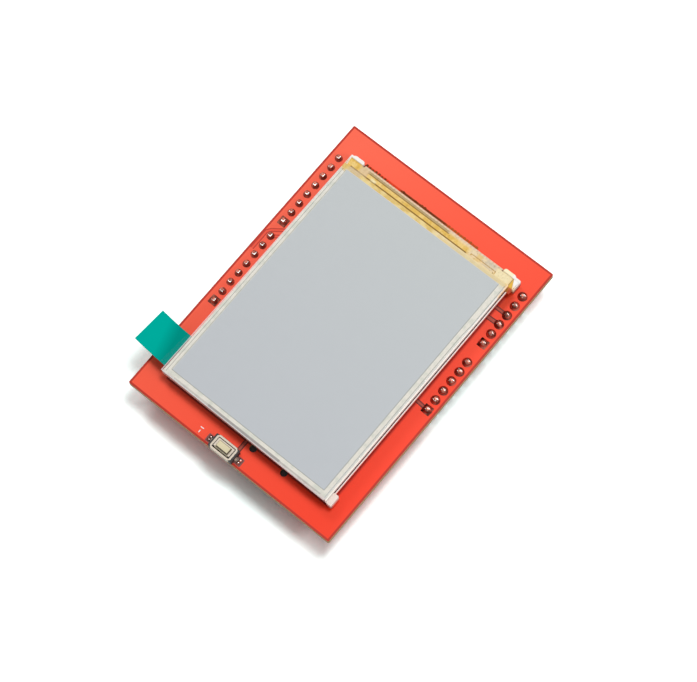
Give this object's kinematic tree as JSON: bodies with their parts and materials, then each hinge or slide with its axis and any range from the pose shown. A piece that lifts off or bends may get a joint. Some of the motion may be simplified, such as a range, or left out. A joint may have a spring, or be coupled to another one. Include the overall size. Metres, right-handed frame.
{
  "type": "tft display module",
  "caption": "Colour display and touch panel on a header-pin circuit board, with a reset button and a memory card socket underneath.",
  "frame": {"origin": "middle of the header pin field, at the level of the pin tips", "axes": "+X towards the shorter header rows, +Y along the board towards the display's flex, +Z out of the screen"},
  "size_m": [0.0566, 0.0716, 0.0145],
  "materials": {
    "red_board": "red solder mask over glass fibre board, satin gloss",
    "black_plastic": "black moulded plastic, fine satin",
    "tinned_pin": "bright tin plate",
    "solder": "bright solder with darker flux round the foot",
    "cover_steel": "bright stamped steel",
    "button_plastic": "cream moulded plastic",
    "foam_tape": "white foam tape",
    "frame_white": "warm white moulded plastic, satin",
    "reflector_silver": "silvered film",
    "clear_acrylic": "clear polished acrylic",
    "white_sheet": "milky diffusing sheet",
    "prism_sheet": "finely ribbed clear sheet",
    "rim_black": "black adhesive film",
    "polariser_grey": "grey polarising film",
    "panel_glass": "thin display glass",
    "chip_silicon": "dark polished silicon",
    "amber_film": "amber polyimide film",
    "adhesive_white": "cream adhesive tape",
    "touch_glass": "clear glass with ground edges",
    "touch_film": "grey conductive film, very smooth",
    "clear_film": "thin clear protective film",
    "green_film": "blue-green pull tab film",
    "shell_steel": "bright pressed steel",
    "contact_gold": "gold plated spring contacts",
    "chip_black": "black moulded epoxy, fine matt",
    "lead_tin": "tin plated leads",
    "capacitor_tan": "fired ceramic",
    "resistor_black": "glazed resistor film",
    "led_white": "white moulded light source"
  },
  "bodies": {
    "board": {"backlight_frame": "frame_white", "backlight_leds": "led_white", "buffer_chips": "chip_black", "buffer_leads": "lead_tin", "card_socket_base": "black_plastic", "card_socket_contacts": "contact_gold", "card_socket_shell": "shell_steel", "ceramic_capacitors": "capacitor_tan", "chip_resistors": "resistor_black", "circuit_board": "red_board", "colour_filter_glass": "panel_glass", "diffuser_sheet": "white_sheet", "display_flex": "amber_film", "driver_chip": "chip_silicon", "end_caps": "lead_tin", "flex_solder": "solder", "front_polariser": "polariser_grey", "glass_rim_tape": "rim_black", "led_strip_flex": "amber_film", "ledge_tape": "amber_film", "left_header_foot_pins": "tinned_pin", "left_header_foot_solder": "solder", "left_header_foot_strip": "black_plastic", "left_header_head_pins": "tinned_pin", "left_header_head_solder": "solder", "left_header_head_strip": "black_plastic", "light_guide": "clear_acrylic", "lower_prism_sheet": "prism_sheet", "mounting_tape": "foam_tape", "protective_film": "clear_film", "pull_tab": "green_film", "rear_polariser": "polariser_grey", "reflector_sheet": "reflector_silver", "regulator_body": "chip_black", "regulator_leads": "lead_tin", "right_header_foot_pins": "tinned_pin", "right_header_foot_solder": "solder", "right_header_foot_strip": "black_plastic", "right_header_head_pins": "tinned_pin", "right_header_head_solder": "solder", "right_header_head_strip": "black_plastic", "switch_base": "black_plastic", "switch_cover": "cover_steel", "switch_dome": "cover_steel", "switch_solder": "solder", "switch_terminals": "tinned_pin", "tft_glass": "panel_glass", "touch_film": "touch_film", "touch_flex": "amber_film", "touch_glass": "touch_glass", "touch_spacer": "adhesive_white", "touch_tape": "adhesive_white", "upper_prism_sheet": "prism_sheet"},
    "button": {"switch_button": "button_plastic"}
  },
  "joints": [
    {"name": "button_press", "type": "slide", "parent": "board", "child": "button", "axis": [0, 0, -1], "range_m": [0, 0.00025], "stiffness_N_per_m": 6400, "deforming": ["switch_dome"]}
  ]
}
